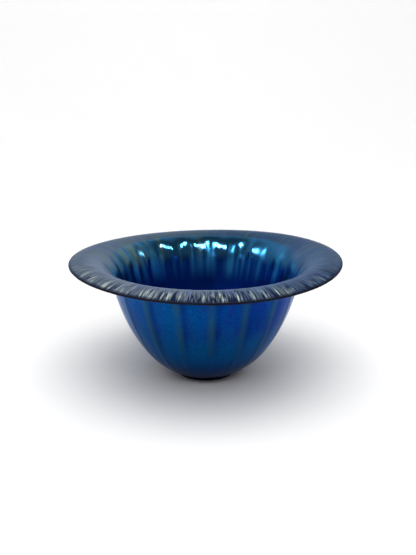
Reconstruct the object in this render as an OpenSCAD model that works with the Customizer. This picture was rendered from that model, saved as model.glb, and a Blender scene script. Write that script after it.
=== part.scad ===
// Mould-ribbed art glass bowl: one blown vessel with a flared brim, standing on
// a thin pad of glass applied to its base. Z = 0 is the table, Z is the axis.

/* [Brim] */
// Outside diameter of the brim
rim_d = 223; // [190:1:280]
// Height of the brim's lower edge above the throat
rim_rise = 17; // [10:0.5:26]
// How far the edge of the brim turns down below level, in degrees
rim_droop = 24; // [5:1:35]
// Thickness of the glass at the brim's edge
rim_wall = 2.4; // [1.6:0.1:4]

/* [Body] */
// Outside diameter at the throat, where the wall turns out into the brim
throat_d = 152.6; // [125:0.2:184]
// Height of the throat above the table
throat_h = 78.5; // [60:0.5:110]
// Slope of the wall at the throat, in degrees above level
throat_slope = 76.5; // [70:0.5:85]
// Slope of the wall where it leaves the flat of the base, in degrees above level
base_slope = 21.5; // [15:0.5:30]
// Thickness of the wall at the throat
side_wall = 2.9; // [2:0.1:4.5]
// Thickness of the wall at the foot of the body
base_wall = 5; // [3.5:0.1:6.5]
// Thickness of the glass at the middle of the base
floor_wall = 3; // [2.2:0.1:5]

/* [Ribs] */
// How many ribs the mould leaves round the body
rib_count = 18; // [8:1:24]
// Width of a rib at the throat
rib_w = 3.8; // [2:0.1:6]
// How far a rib stands out of the wall
rib_h = 0.5; // [0.2:0.1:1.2]

/* [Foot pad] */
// Diameter of the pad
pad_d = 50.6; // [40:0.2:64]
// Thickness of the pad
pad_h = 1.6; // [1:0.1:4]
// How far the pad stands out past the flat of the base that it is fused to
pad_lip = 0.8; // [0.4:0.1:2]
// Radius of the pad's fire-rounded edge
pad_round = 0.6; // [0.2:0.1:0.7]
// Diameter of the polished hollow under the pad
hollow_d = 22; // [10:1:32]
// Depth of that hollow
hollow_depth = 0.7; // [0.3:0.1:0.9]

/* [Hidden] */

seat_r = pad_d / 2 - pad_lip;
// Both roundings fit in the pad's thickness, with a straight band between them.
PAD_BAND = 0.1;
pad_edge = min(pad_round, (pad_h - PAD_BAND) / 2);
throat_r = throat_d / 2;
rim_z = throat_h + rim_rise;
// The curve of the brim stops short of rim_d by the rounding of its edge.
rim_r = rim_d / 2 - rim_wall / 2 * (1 + sin(rim_droop));

// Lengths of the curve handles, as shares of the chord that each curve spans.
BODY_LOW = 0.335;
BODY_HIGH = 0.328;
BRIM_LOW = 0.497;
BRIM_HIGH = 0.36;
FLOOR_HANDLE = 0.2;
FLOOR_FLAT = 0.45;

BODY_STEPS = 22;
BRIM_STEPS = 16;
EDGE_STEPS = 6;
FLOOR_STEPS = 6;

// Where a rib starts up the body, and how far into the brim it fades out.
RIB_START = 0.14;
RIB_END = 0.35;
RIB_ROOT = 1;    // how deep a rib's root lies in the wall
RIB_SINK = 0.4;  // how far a rib's ends dip below the surface

GLASS = [0.02, 0.16, 0.48];
PAD_GLASS = [0.02, 0.06, 0.24];

function along(angle) = [cos(angle), sin(angle)];
function mix(a, b, t) = a + (b - a) * t;

// A cubic curve from a to b that leaves at slope_a and arrives at slope_b.
function handles(a, slope_a, share_a, b, slope_b, share_b) =
    let (chord = norm(b - a))
    [a, a + share_a * chord * along(slope_a), b - share_b * chord * along(slope_b), b];
function on_curve(p, t) =
    p[0] * pow(1 - t, 3) + p[1] * 3 * pow(1 - t, 2) * t + p[2] * 3 * (1 - t) * t * t + p[3] * pow(t, 3);
function heading(p, t) =
    let (d = (p[1] - p[0]) * pow(1 - t, 2) + (p[2] - p[1]) * 2 * (1 - t) * t + (p[3] - p[2]) * t * t)
    atan2(d.y, d.x);

// Moves a point of a curve square to it, towards the inside of the bowl.
function inward(p, t, depth) = on_curve(p, t) + depth * along(heading(p, t) + 90);

body_curve = handles([seat_r, pad_h], base_slope, BODY_LOW, [throat_r, throat_h], throat_slope, BODY_HIGH);
brim_curve = handles([throat_r, throat_h], throat_slope, BRIM_LOW, [rim_r, rim_z], -rim_droop, BRIM_HIGH);

function body_wall(t) = mix(base_wall, side_wall, t);
function brim_wall(t) = mix(side_wall, rim_wall, t);

outside = concat(
    [for (i = [0 : BODY_STEPS - 1]) on_curve(body_curve, i / BODY_STEPS)],
    [for (i = [0 : BRIM_STEPS]) on_curve(brim_curve, i / BRIM_STEPS)]
);
inside = concat(
    [for (i = [BRIM_STEPS : -1 : 1]) inward(brim_curve, i / BRIM_STEPS, brim_wall(i / BRIM_STEPS))],
    [for (i = [BODY_STEPS : -1 : 0]) inward(body_curve, i / BODY_STEPS, body_wall(i / BODY_STEPS))]
);

// The fire-rounded edge of the brim: a half circle from the outside to the inside.
edge_centre = inward(brim_curve, 1, rim_wall / 2);
edge = [for (i = [1 : EDGE_STEPS - 1])
    edge_centre + rim_wall / 2 * along(-rim_droop - 90 + 180 * i / EDGE_STEPS)];

// The inside of the base, from the wall in to the axis.
floor_start = inside[len(inside) - 1];
floor_mid = [0, pad_h + floor_wall];
floor_curve = [
    floor_start,
    floor_start - FLOOR_HANDLE * floor_start.x * along(base_slope),
    floor_mid + [FLOOR_FLAT * floor_start.x, 0],
    floor_mid
];
inner_floor = [for (i = [1 : FLOOR_STEPS]) on_curve(floor_curve, i / FLOOR_STEPS)];

// How far a rib stands proud at share u of its length, below zero at its ends.
function rib_proud(u) = mix(-RIB_SINK, rib_h, pow(sin(180 * u), 0.6));

module vessel() {
    rotate_extrude($fn = 192)
        polygon(concat([[0, pad_h]], outside, edge, inside, inner_floor));
}

// One rib, on +X: a thin sector that follows the wall, so it narrows towards the base.
module rib() {
    turn = 2 * asin(rib_w / throat_d);
    body_ts = [for (i = [0 : BODY_STEPS - 1]) if (i / BODY_STEPS >= RIB_START) i / BODY_STEPS];
    brim_ts = [for (i = [0 : BRIM_STEPS]) if (i / BRIM_STEPS <= RIB_END) i / BRIM_STEPS];
    last = len(body_ts) + len(brim_ts) - 1;
    root = concat(
        [for (t = body_ts) inward(body_curve, t, RIB_ROOT)],
        [for (t = brim_ts) inward(brim_curve, t, RIB_ROOT)]
    );
    crest = concat(
        [for (i = [0 : len(body_ts) - 1]) inward(body_curve, body_ts[i], -rib_proud(i / last))],
        [for (i = [0 : len(brim_ts) - 1])
            inward(brim_curve, brim_ts[i], -rib_proud((len(body_ts) + i) / last))]
    );
    rotate([0, 0, -turn / 2])
        rotate_extrude(angle = turn, $fn = 192)
            polygon(concat(crest, [for (i = [last : -1 : 0]) root[i]]));
}

module blown_bowl() {
    color(GLASS)
    union() {
        vessel();
        for (i = [0 : rib_count - 1])
            rotate([0, 0, 90 + i * 360 / rib_count])
                rib();
    }
}

module foot_pad() {
    hollow_r = (pow(hollow_d / 2, 2) + pow(hollow_depth, 2)) / (2 * hollow_depth);
    color(PAD_GLASS)
    difference() {
        union() {
            cylinder(r = pad_d / 2 - pad_edge, h = pad_h, $fn = 128);
            translate([0, 0, pad_edge])
                cylinder(r = pad_d / 2, h = pad_h - 2 * pad_edge, $fn = 128);
            for (z = [pad_edge, pad_h - pad_edge])
                translate([0, 0, z])
                    rotate_extrude($fn = 128)
                        translate([pad_d / 2 - pad_edge, 0])
                            circle(r = pad_edge, $fn = 32);
        }
        translate([0, 0, hollow_depth - hollow_r])
            sphere(r = hollow_r, $fn = 128);
    }
}

blown_bowl();
foot_pad();
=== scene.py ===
import math

import bpy
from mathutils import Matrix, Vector, noise


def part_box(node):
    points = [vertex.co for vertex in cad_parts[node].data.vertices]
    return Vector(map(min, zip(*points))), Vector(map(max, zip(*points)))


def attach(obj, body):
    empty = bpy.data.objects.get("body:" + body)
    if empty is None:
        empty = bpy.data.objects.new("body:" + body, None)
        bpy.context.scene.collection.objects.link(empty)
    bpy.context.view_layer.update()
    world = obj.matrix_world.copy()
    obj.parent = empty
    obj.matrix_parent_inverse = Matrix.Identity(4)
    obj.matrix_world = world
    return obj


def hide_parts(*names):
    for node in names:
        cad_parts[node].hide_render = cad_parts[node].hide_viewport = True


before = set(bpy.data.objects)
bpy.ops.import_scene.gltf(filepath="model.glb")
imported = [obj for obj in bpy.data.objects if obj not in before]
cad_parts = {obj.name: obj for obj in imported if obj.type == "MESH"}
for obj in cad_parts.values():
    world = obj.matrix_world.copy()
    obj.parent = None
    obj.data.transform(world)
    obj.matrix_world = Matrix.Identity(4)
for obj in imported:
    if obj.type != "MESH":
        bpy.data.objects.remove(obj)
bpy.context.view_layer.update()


# The camera stands where a seated viewer's eye would be and looks a little down into the bowl. It is
# turned so that one rib falls just right of the middle.
VIEW_TURN = math.radians(-3.76)
VIEW_DISTANCE = 0.6063
VIEW_HEIGHT = 0.2559
VIEW_SIDE = 0.0020
VIEW_PITCH = math.radians(16.04)
VIEW_LENS = 49.28
VIEW_SENSOR = 36

camera_data = bpy.data.cameras.new("camera")
camera_data.sensor_width = VIEW_SENSOR
camera_data.lens = VIEW_LENS
camera = bpy.data.objects.new("camera", camera_data)
bpy.context.scene.collection.objects.link(camera)
camera.location = (
    VIEW_SIDE * math.cos(VIEW_TURN) + VIEW_DISTANCE * math.sin(VIEW_TURN),
    VIEW_SIDE * math.sin(VIEW_TURN) - VIEW_DISTANCE * math.cos(VIEW_TURN),
    VIEW_HEIGHT,
)
camera.rotation_euler = (math.pi / 2 - VIEW_PITCH, 0, VIEW_TURN)
bpy.context.scene.camera = camera


# The bowl is one blown piece: a gather dipped in a ribbed mould, blown out, cracked off and spun open
# into a flared brim. The profile below is its wall from the middle of the base, up the outside, round
# the fire-rounded edge and down the inside to the middle of the floor. It is turned round the axis.
bowl_low, bowl_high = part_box("blown_bowl")
pad_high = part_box("foot_pad")[1]
PAD_LIP = 0.0008
SEAT_R = pad_high.x - PAD_LIP
THROAT_R = 0.0763
THROAT_Z = 0.0785
BASE_SLOPE = math.radians(21.5)
THROAT_SLOPE = math.radians(76.5)
BRIM_DROOP = math.radians(24)
BRIM_RISE = 0.017
BRIM_WALL = 0.0024
THROAT_WALL = 0.0029
BASE_WALL = 0.005
FLOOR_WALL = 0.003

# Lengths of the curve handles, as shares of the chord that each curve spans.
BODY_LOW = 0.335
BODY_HIGH = 0.328
BRIM_LOW = 0.497
BRIM_HIGH = 0.36
FLOOR_HANDLE = 0.2
FLOOR_FLAT = 0.45

BASE_RINGS = (0, 0.5, 0.97)
BODY_RINGS = 20
FLARE_RINGS = 9
EDGE_RINGS = 6
BRIM_RINGS = 24
WELL_RINGS = 17
FLOOR_RINGS = 5

def along(angle):
    return Vector((math.cos(angle), math.sin(angle)))

def smooth(x):
    x = min(1, max(0, x))
    return x * x * (3 - 2 * x)

def mix(one, other, share):
    return one + (other - one) * share

def wall_curve(start, start_slope, start_share, end, end_slope, end_share):
    """Control points of a smooth length of wall that leaves and arrives at given slopes."""
    chord = (end - start).length
    leaving = start + start_share * chord * along(start_slope)
    arriving = end - end_share * chord * along(end_slope)
    return start, leaving, arriving, end

def on_curve(curve, t):
    a, b, c, d = curve
    s = 1 - t
    return a * s ** 3 + b * 3 * s * s * t + c * 3 * s * t * t + d * t ** 3

def inside_of(curve, t, thickness):
    """The point across the wall from the outside at t, square to the wall."""
    a, b, c, d = curve
    s = 1 - t
    way = ((b - a) * s * s + (c - b) * 2 * s * t + (d - c) * t * t).normalized()
    return on_curve(curve, t) + thickness * Vector((-way.y, way.x))

seat = Vector((SEAT_R, bowl_low.z))
throat = Vector((THROAT_R, THROAT_Z))
brim_end = Vector((bowl_high.x - BRIM_WALL / 2 * (1 + math.sin(BRIM_DROOP)), THROAT_Z + BRIM_RISE))
body = wall_curve(seat, BASE_SLOPE, BODY_LOW, throat, THROAT_SLOPE, BODY_HIGH)
brim = wall_curve(throat, THROAT_SLOPE, BRIM_LOW, brim_end, -BRIM_DROOP, BRIM_HIGH)

# Each ring of the profile has its place and how strongly each kind of surface shows there: a raised rib
# and the strip beside it that gets painted shade, the flute behind it, slow rolling waves, small dents,
# the cracks of stretched lustre, satin (and crest, the satin of the back half, which starts further out),
# the inside, bare glass at the edge, and the tone of each plate between the cracks.
SURFACES = ("rib", "lee", "flute", "roll", "dent", "stretch", "satin", "crest", "inside", "bare", "plate")
UNDER_CRACKS = 0.3
WELL_FLUTE = 0.3
WELL_SATIN = 0.09
rings = []

def ring(place, **strength):
    rings.append((place, [strength.get(name, 0) for name in SURFACES]))

def rise(t, start, over):
    """0 before start, turning into 1 over the given share of the curve."""
    return smooth((t - start) / over)

for share in BASE_RINGS:
    ring(Vector((SEAT_R * share, seat.y)))
for i in range(BODY_RINGS):
    t = i / BODY_RINGS
    ring(on_curve(body, t), rib=rise(t, start=0.14, over=0.25), lee=rise(t, start=0.3, over=0.4))
for i in range(FLARE_RINGS + 1):
    t = i / FLARE_RINGS
    fading = 1 - rise(t, start=0.1, over=0.4)
    ring(on_curve(brim, t), rib=fading, lee=fading,
         stretch=UNDER_CRACKS * rise(t, start=0.5, over=0.5), bare=rise(t, start=0.75, over=0.2))
edge_middle = inside_of(brim, 1, BRIM_WALL / 2)
for i in range(1, EDGE_RINGS):
    t = i / EDGE_RINGS
    turn = -BRIM_DROOP - math.pi / 2 + math.pi * t
    ring(edge_middle + BRIM_WALL / 2 * along(turn),
         stretch=mix(UNDER_CRACKS, 1, t), bare=1, satin=t, crest=t, inside=t)
for i in range(BRIM_RINGS, 0, -1):
    t = i / BRIM_RINGS
    ring(inside_of(brim, t, mix(THROAT_WALL, BRIM_WALL, t)), inside=1,
         flute=mix(WELL_FLUTE, 1, rise(t, start=0, over=0.1)) * (1 - rise(t, start=0.1, over=0.35)),
         roll=1 - rise(t, start=0.1, over=0.35),
         dent=rise(t, start=0.08, over=0.1) * (1 - rise(t, start=0.3, over=0.2)),
         stretch=rise(t, start=0.35, over=0.45), satin=rise(t, start=-0.1, over=0.6),
         crest=rise(t, start=0.34, over=0.22))
for i in range(WELL_RINGS, -1, -1):
    t = i / WELL_RINGS
    ring(inside_of(body, t, mix(BASE_WALL, THROAT_WALL, t)), inside=1,
         flute=WELL_FLUTE * rise(t, start=0.2, over=0.7), roll=rise(t, start=0.8, over=0.2),
         satin=WELL_SATIN * rise(t, start=0.7, over=0.3))
floor_edge = rings[-1][0]
floor_middle = Vector((0, seat.y + FLOOR_WALL))
floor = (
    floor_edge,
    floor_edge - FLOOR_HANDLE * floor_edge.x * along(BASE_SLOPE),
    floor_middle + Vector((FLOOR_FLAT * floor_edge.x, 0)),
    floor_middle,
)
for i in range(1, FLOOR_RINGS + 1):
    ring(on_curve(floor, i / FLOOR_RINGS), inside=1)

# One point is drawn out along the profile, and the profile is turned round the axis.
TURNS = 720
CLOSE = 0.00001
bpy.ops.object.select_all(action="DESELECT")
bpy.ops.mesh.primitive_plane_add(size=0.001, location=(0, 0, 0))
bowl = bpy.context.object
bowl.name = "blown_bowl_glass"
bpy.ops.object.mode_set(mode="EDIT")
bpy.ops.mesh.merge(type="CENTER")
here = rings[0][0]
bpy.ops.transform.translate(value=(here.x, 0, here.y))
for place, _ in rings[1:]:
    step = place - here
    bpy.ops.mesh.extrude_region_move(TRANSFORM_OT_translate={"value": (step.x, 0, step.y)})
    here = place
bpy.ops.object.mode_set(mode="OBJECT")

for name in SURFACES:
    bowl.data.attributes.new(name, "FLOAT", "POINT")
for vertex in bowl.data.vertices:
    at = Vector((vertex.co.x, vertex.co.z))
    place, strength = min(rings, key=lambda made: (made[0] - at).length_squared)
    for name, value in zip(SURFACES, strength):
        bowl.data.attributes[name].data[vertex.index].value = value

turned = bowl.modifiers.new("turned", "SCREW")
turned.angle = math.tau
turned.steps = turned.render_steps = TURNS
turned.use_merge_vertices = True
turned.merge_threshold = CLOSE / 10
turned.use_smooth_shade = True
bpy.ops.object.modifier_apply(modifier="turned")
bpy.ops.object.mode_set(mode="EDIT")
bpy.ops.mesh.select_all(action="SELECT")
bpy.ops.mesh.remove_doubles(threshold=CLOSE)
bpy.ops.mesh.normals_make_consistent(inside=False)
bpy.ops.mesh.select_mode(type="EDGE")
bpy.ops.mesh.select_all(action="DESELECT")
bpy.ops.object.mode_set(mode="OBJECT")

# The brim's fine cracks need closer points, so the level edges there are each cut in three.
STRETCHED = 0.02
stretched = [value.value > STRETCHED for value in bowl.data.attributes["stretch"].data]
for edge in bowl.data.edges:
    one, other = (bowl.data.vertices[v].co for v in edge.vertices)
    level = abs(one.xy.length - other.xy.length) < CLOSE
    edge.select = level and all(stretched[v] for v in edge.vertices)
bpy.ops.object.mode_set(mode="EDIT")
bpy.ops.mesh.subdivide(number_cuts=2, ngon=False)
bpy.ops.object.mode_set(mode="OBJECT")

# What the mould, the furnace and the maker's tools leave in the wall: ribs outside, with a flute behind
# each one inside, slow waves and small dents in the flare, fainter at the front, and a brim that leans
# and twists a little.
RIBS = 18
FIRST_RIB = -math.pi / 2
RIB_H = 0.0003
RIB_TURN = math.radians(2.3)
LEE_TURN = math.radians(3.4)
FLUTE_H = 0.0012
LUMP_H = 0.0001
LUMP_SIZE = 0.017
WAVE_H = 0.0018
WAVE_TURNS = 10
WAVE_LENGTH = 0.040
DENT_H = 0.0011
DENT_TURNS = 6
DENT_LENGTH = 0.011
FRONT_WAVES = 0.25
LEAN = 0.0010
LEAN_WAY = math.radians(40)
SADDLE = 0.0016
SADDLE_WAY = math.radians(11)
WARP_FROM = 0.080
WARP_OVER = 0.030

# The cracks run outwards between long plates of lustre, so many to the circle, and sway a little. They and
# the plates are strongest at the front of the brim.
MARK_TURNS = 62
MARK_LENGTH = 0.028
MARK_DEPTH = 0.00016
MARK_CORE = 0.08
MARK_WIDTH = 0.16
MARK_SWAY = 0.006
SWAY_SIZE = 0.006
BACK_MARKS = 0.3
BACK_PLATES = 0.4
PLATE_H = 0.3
PLATE_TONE = 0.5
PLATE_SHUFFLE = 7.3

# The back half fades in backwards, and the front half forwards, from a line just behind the middle. Both
# measures are shares of the radius.
HALF_START = 0.1
HALF_FADE = 0.7

def wrapped(spot, radius, turns, length):
    """A point of the wall in a pattern with turns to the circle, so that the pattern has no seam."""
    return Vector((spot.x / radius * turns, spot.y / radius * turns, (radius - spot.z) / length))

strengths = {name: [0.0] * len(bowl.data.vertices) for name in SURFACES}
for name in SURFACES:
    bowl.data.attributes[name].data.foreach_get("value", strengths[name])
moved = []
for vertex in bowl.data.vertices:
    i = vertex.index
    spot = vertex.co
    radius = max(spot.xy.length, CLOSE)
    angle = math.atan2(spot.y, spot.x)
    back = smooth((spot.y / radius - HALF_START) / HALF_FADE)
    front = smooth((HALF_START - spot.y / radius) / HALF_FADE)
    from_rib = ((angle - FIRST_RIB) * RIBS / math.tau + 0.5) % 1 - 0.5
    rib_turn = from_rib * math.tau / RIBS
    ridge = math.exp(-(rib_turn / RIB_TURN) ** 2)
    # Where the painted rib shade falls, just beside each rib.
    lee = math.exp(-((rib_turn - LEE_TURN) / RIB_TURN) ** 2)
    hump = math.cos(math.tau * from_rib)
    wave = noise.noise(wrapped(spot, radius, WAVE_TURNS, WAVE_LENGTH)) * mix(FRONT_WAVES, 1, back)
    dent = noise.noise(wrapped(spot, radius, DENT_TURNS, DENT_LENGTH)) * mix(FRONT_WAVES, 1, back)
    lump = noise.noise(spot / LUMP_SIZE) * (1 - strengths["satin"][i])
    lift = RIB_H * ridge * strengths["rib"][i] + FLUTE_H * hump * strengths["flute"][i]
    lift += LUMP_H * lump + WAVE_H * wave * strengths["roll"][i] + DENT_H * dent * strengths["dent"][i]
    strengths["satin"][i] = mix(strengths["satin"][i], strengths["crest"][i], back)
    strengths["rib"][i] *= ridge
    strengths["lee"][i] *= lee
    mark = 0
    if strengths["stretch"][i] > 0:
        sway = angle + MARK_SWAY * noise.noise(spot / SWAY_SIZE)
        out = Vector((math.cos(sway) * MARK_TURNS, math.sin(sway) * MARK_TURNS, radius / MARK_LENGTH))
        distances, middles = noise.voronoi(out)
        gap = distances[1] - distances[0]
        mark = (1 - smooth((gap - MARK_CORE) / MARK_WIDTH)) * mix(BACK_MARKS, 1, front)
        level = noise.cell(middles[0] * PLATE_SHUFFLE)
        lift += MARK_DEPTH * strengths["stretch"][i] * (PLATE_H * level - mark)
        strengths["plate"][i] = mix(PLATE_TONE, 1, level) * mix(BACK_PLATES, 1, front)
    strengths["stretch"][i] *= mark
    warp = LEAN * math.cos(angle - LEAN_WAY) + SADDLE * math.cos(2 * (angle - SADDLE_WAY))
    warp *= smooth((radius - WARP_FROM) / WARP_OVER)
    moved.extend(spot + lift * vertex.normal + Vector((0, 0, warp)))
bowl.data.vertices.foreach_set("co", moved)
for name in SURFACES:
    bowl.data.attributes[name].data.foreach_set("value", strengths[name])
bowl.data.update()

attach(bowl, "root")
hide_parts("blown_bowl")

# The lustre: cobalt glass sprayed hot with a metal salt. It is a thin mirror-like film, deep blue and
# smooth on the wall, and grey, satin and finely cracked where the brim was stretched open after spraying.
lustre = bpy.data.materials.new("blue_lustre")
lustre.use_nodes = True
nodes, links = lustre.node_tree.nodes, lustre.node_tree.links
shader = nodes["Principled BSDF"]

def put(socket, value):
    if isinstance(value, bpy.types.NodeSocket):
        links.new(value, socket)
    elif isinstance(value, tuple) and len(value) == 3 and socket.type == "RGBA":
        socket.default_value = (*value, 1)
    else:
        socket.default_value = value

def attribute(name):
    node = nodes.new("ShaderNodeAttribute")
    node.attribute_name = name
    return node.outputs["Fac"]

def blend(share, one, other, kind="MIX"):
    """one, turning into other as share goes from 0 to 1."""
    node = nodes.new("ShaderNodeMix")
    node.data_type = "RGBA"
    node.blend_type = kind
    put(node.inputs["Factor"], share)
    colours = [socket for socket in node.inputs if socket.type == "RGBA"]
    for socket, colour in zip(colours, (one, other)):
        put(socket, colour)
    return [socket for socket in node.outputs if socket.type == "RGBA"][0]

def work_out(kind, *values):
    node = nodes.new("ShaderNodeMath")
    node.operation = kind
    for socket, value in zip(node.inputs, values):
        put(socket, value)
    return node.outputs[0]

def times(one, other):
    return work_out("MULTIPLY", one, other)

def span(value, low, high, start=0, end=1):
    """value from low to high as start to end, held at both ends."""
    node = nodes.new("ShaderNodeMapRange")
    node.interpolation_type = "SMOOTHSTEP"
    put(node.inputs["Value"], value)
    put(node.inputs["From Min"], low)
    put(node.inputs["From Max"], high)
    put(node.inputs["To Min"], start)
    put(node.inputs["To Max"], end)
    return node.outputs["Result"]

def cloud(vector, scale, detail=2, distortion=0):
    node = nodes.new("ShaderNodeTexNoise")
    put(node.inputs["Vector"], vector)
    put(node.inputs["Scale"], scale)
    put(node.inputs["Detail"], detail)
    put(node.inputs["Distortion"], distortion)
    return node.outputs["Fac"]

def crack(vector):
    """How far a point is from the nearest crack between cells."""
    node = nodes.new("ShaderNodeTexVoronoi")
    node.feature = "DISTANCE_TO_EDGE"
    put(node.inputs["Vector"], vector)
    put(node.inputs["Scale"], 1.0)
    return node.outputs["Distance"]

def vector_work(kind, *values):
    node = nodes.new("ShaderNodeVectorMath")
    node.operation = kind
    for socket, value in zip(node.inputs, values):
        put(socket, value)
    return node

def joined(**parts):
    node = nodes.new("ShaderNodeCombineXYZ")
    for name, value in parts.items():
        put(node.inputs[name], value)
    return node.outputs[0]

place = nodes.new("ShaderNodeTexCoord").outputs["Object"]
split = nodes.new("ShaderNodeSeparateXYZ")
put(split.inputs[0], place)
height = split.outputs["Z"]
flat = joined(X=split.outputs["X"], Y=split.outputs["Y"])
reach = vector_work("LENGTH", flat).outputs["Value"]
round_way = vector_work("NORMALIZE", flat).outputs[0]

def around(turns, up, out=0):
    """A place on the wall with turns to the circle, so that a pattern drawn there has no seam."""
    scaled = vector_work("SCALE", round_way)
    scaled.inputs["Scale"].default_value = turns
    lifted = joined(Z=work_out("MULTIPLY_ADD", height, up, times(reach, out)))
    return vector_work("ADD", scaled.outputs[0], lifted).outputs[0]

# From 0 to 1 from left to right over the middle half of the bowl.
ACROSS = 9.0
side = work_out("MULTIPLY_ADD", split.outputs["X"], ACROSS, 0.5)

# Outside: blue, teal to the left and violet to the right, with a greener line down each rib. Painted light
# and shade: a paler band at mid-height, darker towards the base, and a deeper blue strip beside each rib.
DEEP = (0.0006, 0.026, 0.190)
TEAL = (0.0010, 0.066, 0.230)
MIDDLE_LIGHT = (0.0010, 0.078, 0.250)
VIOLET = (0.010, 0.020, 0.190)
RIB_GREEN = (0.014, 0.066, 0.110)
RIB_SHADE_BLUE = (0.0006, 0.018, 0.140)
BOTTOM_SHADE = (0.002, 0.005, 0.075)
MIDDLE_LIGHT_Z = (0.060, 0.038)
BOTTOM_SHADE_Z = (0.032, 0.006)
RIB_Z = (0.022, 0.045)
RIB_SHARE = 0.8

outside = blend(span(side, 0, 1), TEAL, DEEP)
violet_patch = span(cloud(around(turns=2.5, up=14), scale=1.6, detail=3, distortion=0.6), 0.42, 0.65)
violet_side = span(side, 0.2, 1.1, start=0.4, end=1.0)
outside = blend(times(violet_side, violet_patch), outside, VIOLET)
teal_patch = cloud(around(turns=3, up=50), scale=1.2, detail=4, distortion=1.0)
outside = blend(span(teal_patch, 0.45, 0.8, end=0.6), outside, TEAL)
# Painted light: the paler band at mid-height stands in for the bright floor that the wall reflects.
outside = blend(span(height, *MIDDLE_LIGHT_Z), outside, MIDDLE_LIGHT)
# Painted shade: darker towards the base, where the wall reflects the shadowed floor under the bowl.
outside = blend(span(height, *BOTTOM_SHADE_Z), outside, BOTTOM_SHADE)
mottle = span(cloud(place, scale=520, detail=4), 0.35, 0.65, start=0.86, end=1.14)
outside = blend(1.0, outside, mottle, kind="MULTIPLY")
broken = span(cloud(around(turns=4, up=60), scale=1.0, detail=3), 0.3, 0.6, start=0.5)
rib_fade = times(times(span(height, *RIB_Z), broken), RIB_SHARE)
# Painted shade: the dark reflection on one flank of each rib, as a deeper blue strip beside it.
outside = blend(times(attribute("lee"), rib_fade), outside, RIB_SHADE_BLUE)
outside = blend(times(attribute("rib"), rib_fade), outside, RIB_GREEN)

# Inside: dark blue in the well, with paler streaks that run up into the flare like fingers.
WELL_BLUE = (0.0006, 0.012, 0.105)
WELL_UPPER = (0.002, 0.034, 0.200)
WELL_TEAL = (0.035, 0.270, 0.520)
WELL_OLIVE_GLOW = (0.120, 0.240, 0.270)
FLARE = (0.030, 0.160, 0.340)
UPPER_Z = (0.058, 0.080)
STREAK_Z = (0.058, 0.088)
OLIVE_GLOW_Z = (0.074, 0.088)
FLARE_Z = (0.077, 0.087)
FINGER_LENGTH = 0.012

streak = span(cloud(around(turns=11, up=5), scale=1.0, detail=1, distortion=0.2), 0.36, 0.72)
finger = work_out("MULTIPLY_ADD", streak, -FINGER_LENGTH, height)
inside = blend(span(height, *UPPER_Z), WELL_BLUE, WELL_UPPER)
inside = blend(times(streak, span(height, *STREAK_Z)), inside, WELL_TEAL)
inside = blend(span(finger, *FLARE_Z), inside, FLARE)
# Olive lustre low on the left of the flare, painted paler to stand in for a soft glow of reflected light
# there.
olive_patch = span(cloud(around(turns=7, up=0, out=5), scale=1.7, detail=2, distortion=0.2), 0.44, 0.64)
olive_and_glow = times(times(olive_patch, span(height, *OLIVE_GLOW_Z)), span(side, 0.9, 0.1))
inside = blend(olive_and_glow, inside, WELL_OLIVE_GLOW)

# The brim: grey satin with bluer, olive and violet patches, darker plates, painted pale glints and dark
# cracks. Painted light makes it brighter at the front, and painted shade darker and bluer at the back.
SATIN_GREY = (0.160, 0.190, 0.225)
SATIN_BLUE = (0.052, 0.098, 0.180)
SATIN_VIOLET = (0.090, 0.105, 0.240)
SATIN_OLIVE = (0.130, 0.165, 0.140)
SATIN_DARK = (0.100, 0.130, 0.180)
SATIN_GLINT = (0.620, 0.720, 0.620)
CRACK_DARK_AND_EDGE_SHADE = (0.006, 0.012, 0.035)
SATIN_FRONT_LIGHT = (1.5, 1.5, 1.5)
SATIN_BACK_SHADE = (0.60, 0.76, 0.80)
FRONT_Y = 0.095
OUTER_R = (0.092, 0.104)
GLINT_R = (0.096, 0.106)
SHADED_EDGE_R = (0.1088, 0.1106)

satin = blend(span(side, 0, 1), SATIN_GREY, SATIN_BLUE)
violet_patch = cloud(around(turns=14, up=0, out=14), scale=1.0, detail=2, distortion=0.3)
satin = blend(span(violet_patch, 0.50, 0.70, end=0.5), satin, SATIN_VIOLET)
olive_patch = cloud(around(turns=20, up=0, out=10), scale=1.3, detail=2, distortion=0.3)
satin = blend(span(olive_patch, 0.50, 0.70, end=0.8), satin, SATIN_OLIVE)
outer = span(reach, *OUTER_R)
plate = attribute("plate")
satin = blend(times(outer, span(plate, 0.45, 0.20, end=0.15)), satin, SATIN_DARK)
# Painted highlight: small pale glints on the brighter plates near the outer edge, more of them to the
# left.
flake = span(cloud(around(turns=70, up=0, out=130), scale=1.0, detail=2), 0.38, 0.58, start=0.15)
painted_glint = times(times(span(reach, *GLINT_R), span(plate, 0.40, 0.95, end=0.75)), flake)
satin = blend(times(painted_glint, span(side, 0.7, 1.4, start=1, end=0.35)), satin, SATIN_GLINT)
hair = span(crack(around(turns=105, up=0, out=40)), 0.02, 0.13, start=0.62, end=0)
satin = blend(work_out("MAXIMUM", attribute("stretch"), times(hair, outer)), satin, CRACK_DARK_AND_EDGE_SHADE)
# Painted shade: a dark band just inside the outer edge of the brim.
satin = blend(span(reach, *SHADED_EDGE_R, end=0.8), satin, CRACK_DARK_AND_EDGE_SHADE)
# Painted light and shade: the brim brighter at the front and darker and bluer at the back.
front_light_back_shade = blend(span(split.outputs["Y"], -FRONT_Y, FRONT_Y), SATIN_FRONT_LIGHT, SATIN_BACK_SHADE)
satin = blend(1.0, satin, front_light_back_shade, kind="MULTIPLY")

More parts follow.
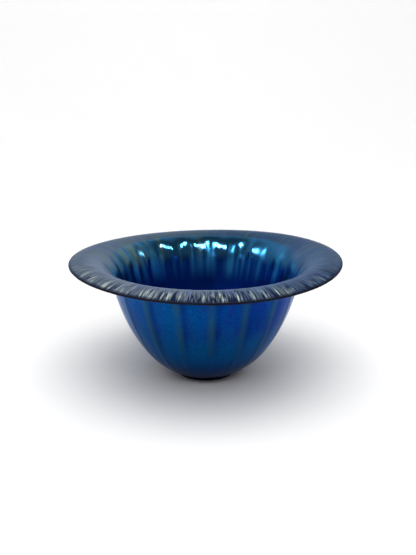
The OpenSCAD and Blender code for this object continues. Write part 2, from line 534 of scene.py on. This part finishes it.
# The satin starts in tongues, and the very edge is bare dark glass, painted near-black for the shade it
# sits in.
BARE_EDGE_SHADE = (0.004, 0.004, 0.010)
tongue = cloud(around(turns=12, up=0, out=6), scale=1.0, detail=2, distortion=0.2)
tongue = work_out("MULTIPLY_ADD", tongue, 0.6, work_out("SUBTRACT", attribute("satin"), 0.3))
satin_share = times(span(attribute("satin"), 0.0, 0.1), span(tongue, 0.1, 0.9))
colour = blend(attribute("inside"), outside, inside)
colour = blend(satin_share, colour, satin)
colour = blend(attribute("bare"), colour, BARE_EDGE_SHADE)
put(shader.inputs["Base Color"], colour)

# The film is glossiest in the far flare, duller in the well and on the satin, and gone at the bare edge.
OUTSIDE_ROUGH = 0.24
WELL_ROUGH = 0.36
POLISHED_ROUGH = 0.12
SATIN_ROUGH = 0.38
BARE_ROUGH = 0.6
POLISH_Z = (0.070, 0.086)
EDGE_TINT = (0.62, 0.70, 0.88)
FILM_SPECULAR = 0.1

def even(rough):
    return (rough, rough, rough)

far_side = span(work_out("DIVIDE", split.outputs["Y"], reach), 0.55, 0.97)
polish = times(span(finger, *POLISH_Z), far_side)
gloss = blend(polish, even(WELL_ROUGH), even(POLISHED_ROUGH))
gloss = blend(attribute("inside"), even(OUTSIDE_ROUGH), gloss)
gloss = blend(span(attribute("satin"), 0.1, 0.6), gloss, even(SATIN_ROUGH))
gloss = blend(attribute("bare"), gloss, even(BARE_ROUGH))
put(shader.inputs["Roughness"], gloss)
put(shader.inputs["Metallic"], work_out("SUBTRACT", 1.0, attribute("bare")))
put(shader.inputs["Specular Tint"], EDGE_TINT)
put(shader.inputs["Specular IOR Level"], FILM_SPECULAR)

# Fine tooth: a wrinkled satin on the brim and a faint grain all over.
TOOTH_STRENGTH = 0.25
TOOTH_DEPTH = 0.0002
GRAIN_SHARE = 0.15
grain = cloud(place, scale=900, detail=3)
wrinkle = cloud(around(turns=150, up=0, out=150), scale=1.0, detail=2)
tooth = nodes.new("ShaderNodeBump")
put(tooth.inputs["Strength"], TOOTH_STRENGTH)
put(tooth.inputs["Distance"], TOOTH_DEPTH)
put(tooth.inputs["Height"], work_out("ADD", times(wrinkle, attribute("satin")), times(grain, GRAIN_SHARE)))
put(shader.inputs["Normal"], tooth.outputs[0])
bowl.data.materials.append(lustre)


# The pad: a disc of the same dark glass, pressed hot on the base, then ground and polished flat.
# Its colour and polish are a little uneven, as ground glass is.
PAD_BLUE = (0.002, 0.007, 0.050)
PAD_DARK = (0.001, 0.002, 0.014)
PAD_POLISHED = 0.22
PAD_GROUND = 0.42
base_glass = bpy.data.materials.new("base_glass")
base_glass.use_nodes = True
nodes, links = base_glass.node_tree.nodes, base_glass.node_tree.links
shader = nodes["Principled BSDF"]
place = nodes.new("ShaderNodeTexCoord").outputs["Object"]
patch = span(cloud(place, scale=160, detail=3), 0.35, 0.65)
put(shader.inputs["Base Color"], blend(patch, PAD_BLUE, PAD_DARK))
ground = cloud(place, scale=900, detail=2)
put(shader.inputs["Roughness"], span(ground, 0.3, 0.7, start=PAD_POLISHED, end=PAD_GROUND))
put(shader.inputs["Metallic"], 1)
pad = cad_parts["foot_pad"]
pad.data.materials.clear()
pad.data.materials.append(base_glass)


# The table and its pale backdrop are one sweep of white card. It lies flat under the bowl and curves up
# behind it, so that no line shows between the two.
SWEEP_FRONT = -3.0
SWEEP_BACK = 1.5
SWEEP_WIDE = 7
SWEEP_HIGH = 2.2
SWEEP_BEND = 1.0
SWEEP_STEPS = 24
CARD_WHITE = (0.92, 0.92, 0.92)
CARD_ROUGH = 0.9
bpy.ops.object.select_all(action="DESELECT")
bpy.ops.mesh.primitive_plane_add(size=1, location=(0, (SWEEP_FRONT + SWEEP_BACK) / 2, 0))
sweep = bpy.context.object
sweep.name = "sweep"
bpy.ops.transform.resize(value=(SWEEP_WIDE, SWEEP_BACK - SWEEP_FRONT, 1))
bpy.ops.object.transform_apply(location=True, rotation=True, scale=True)
bpy.ops.object.mode_set(mode="EDIT")
bpy.ops.mesh.select_mode(type="EDGE")
bpy.ops.mesh.select_all(action="DESELECT")
bpy.ops.object.mode_set(mode="OBJECT")
for edge in sweep.data.edges:
    edge.select = all(sweep.data.vertices[v].co.y > SWEEP_BACK - CLOSE for v in edge.vertices)
bpy.ops.object.mode_set(mode="EDIT")
bpy.ops.mesh.extrude_region_move(TRANSFORM_OT_translate={"value": (0, 0, SWEEP_HIGH)})
bpy.ops.object.mode_set(mode="OBJECT")
bend = sweep.modifiers.new("bend", "BEVEL")
bend.width = SWEEP_BEND
bend.segments = SWEEP_STEPS
bpy.ops.object.modifier_apply(modifier="bend")
bpy.ops.object.shade_smooth()
card = bpy.data.materials.new("white_card")
card.use_nodes = True
shader = card.node_tree.nodes["Principled BSDF"]
put(shader.inputs["Base Color"], CARD_WHITE)
put(shader.inputs["Roughness"], CARD_ROUGH)
put(shader.inputs["Specular IOR Level"], 0)
sweep.data.materials.append(card)


# The light: one wide softbox overhead, and three short tubes above the front. The tubes make the bright
# marks in the far flare: they shine in the lustre, and don't light the card.
AIM = Vector((0, 0, 0.09))
TUBES = ((0.70, 0.15), (0.24, 0.30), (-0.80, 0.50))
TUBE_DEEP = 0.42
TUBE_Y = -0.55
TUBE_Z = 1.4
TUBE_WATTS = 40
SOFTBOX_SIZE = 3.0
SOFTBOX_WATTS = 75
SOFTBOX_PLACE = (0, -0.7, 2.2)

def lamp(name, wide, deep, power, where):
    data = bpy.data.lights.new(name, "AREA")
    data.shape = "RECTANGLE"
    data.size, data.size_y = wide, deep
    data.energy = power
    obj = bpy.data.objects.new(name, data)
    bpy.context.scene.collection.objects.link(obj)
    obj.location = where
    obj.rotation_euler = (AIM - Vector(where)).to_track_quat("-Z", "Y").to_euler()
    return obj

for n, (right, wide) in enumerate(TUBES):
    tube = lamp(f"tube_{n}", wide, TUBE_DEEP, TUBE_WATTS * wide, (right, TUBE_Y, TUBE_Z))
    tube.visible_diffuse = False
softbox = lamp("softbox", SOFTBOX_SIZE, SOFTBOX_SIZE, SOFTBOX_WATTS, SOFTBOX_PLACE)
softbox.visible_glossy = False

# The room behind the camera is dim, so the glass stays deep, and it is pale wherever the camera sees it.
ROOM_FRONT = 0.25
ROOM_BACK = 1.05
ROOM_UP = -0.45
ROOM_RIGHT = -0.15
world = bpy.data.worlds.new("studio")
bpy.context.scene.world = world
world.use_nodes = True
nodes, links = world.node_tree.nodes, world.node_tree.links
way = nodes.new("ShaderNodeSeparateXYZ")
put(way.inputs[0], nodes.new("ShaderNodeTexCoord").outputs["Generated"])
towards_back = span(way.outputs["Y"], 0.0, 0.6, start=ROOM_FRONT, end=ROOM_BACK)
darker = work_out("MULTIPLY_ADD", way.outputs["Z"], ROOM_UP, 1.0)
darker = work_out("MULTIPLY_ADD", way.outputs["X"], ROOM_RIGHT, darker)
room = nodes["Background"]
put(room.inputs["Color"], (1, 1, 1))
put(room.inputs["Strength"], times(towards_back, darker))
pale_wall = nodes.new("ShaderNodeBackground")
put(pale_wall.inputs["Color"], (1, 1, 1))
seen = nodes.new("ShaderNodeMixShader")
put(seen.inputs["Fac"], nodes.new("ShaderNodeLightPath").outputs["Is Camera Ray"])
put(seen.inputs[1], room.outputs[0])
put(seen.inputs[2], pale_wall.outputs[0])
put(nodes["World Output"].inputs["Surface"], seen.outputs[0])

bpy.context.scene.view_settings.view_transform = "Standard"
